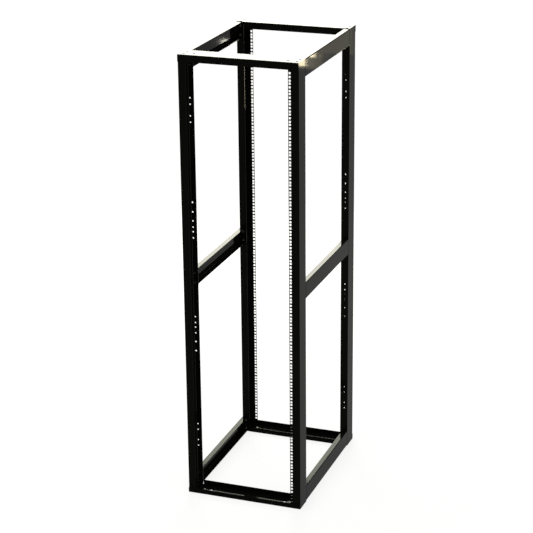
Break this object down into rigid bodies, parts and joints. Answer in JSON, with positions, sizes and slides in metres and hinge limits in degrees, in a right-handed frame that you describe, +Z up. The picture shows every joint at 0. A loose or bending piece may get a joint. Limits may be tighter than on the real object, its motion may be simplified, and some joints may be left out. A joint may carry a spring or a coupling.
{
  "type": "four post open frame rack",
  "caption": "Open frame equipment rack of folded sheet steel: posts with square rail holes, tied by cross channels at top and base and by side beams; it stands on the floor.",
  "frame": {"origin": "on the floor, at the middle of the base", "axes": "+Z up, +X to the right as seen from the front, the front faces -Y"},
  "size_m": [0.5462, 0.8, 2.071],
  "materials": {
    "post_finish": "black satin powder coat on folded steel sheet",
    "channel_finish": "black satin powder coat on folded steel sheet",
    "beam_finish": "black satin powder coat on folded steel sheet",
    "plate_finish": "black satin powder coat on folded steel sheet",
    "clip_finish": "black satin powder coat on folded steel sheet"
  },
  "bodies": {
    "root": {"front_left_post": "post_finish", "front_right_post": "post_finish", "rear_left_post": "post_finish", "rear_right_post": "post_finish", "front_top_channel": "channel_finish", "front_base_channel": "channel_finish", "rear_top_channel": "channel_finish", "rear_base_channel": "channel_finish", "left_bottom_beam": "beam_finish", "left_middle_beam": "beam_finish", "left_top_beam": "beam_finish", "right_bottom_beam": "beam_finish", "right_middle_beam": "beam_finish", "right_top_beam": "beam_finish", "front_left_top_plate": "plate_finish", "front_left_base_plate": "plate_finish", "front_left_bottom_clip": "clip_finish", "front_left_middle_clip": "clip_finish", "front_left_top_clip": "clip_finish", "front_right_top_plate": "plate_finish", "front_right_base_plate": "plate_finish", "front_right_bottom_clip": "clip_finish", "front_right_middle_clip": "clip_finish", "front_right_top_clip": "clip_finish", "rear_left_top_plate": "plate_finish", "rear_left_base_plate": "plate_finish", "rear_left_bottom_clip": "clip_finish", "rear_left_middle_clip": "clip_finish", "rear_left_top_clip": "clip_finish", "rear_right_top_plate": "plate_finish", "rear_right_base_plate": "plate_finish", "rear_right_bottom_clip": "clip_finish", "rear_right_middle_clip": "clip_finish", "rear_right_top_clip": "clip_finish"}
  },
  "joints": []
}
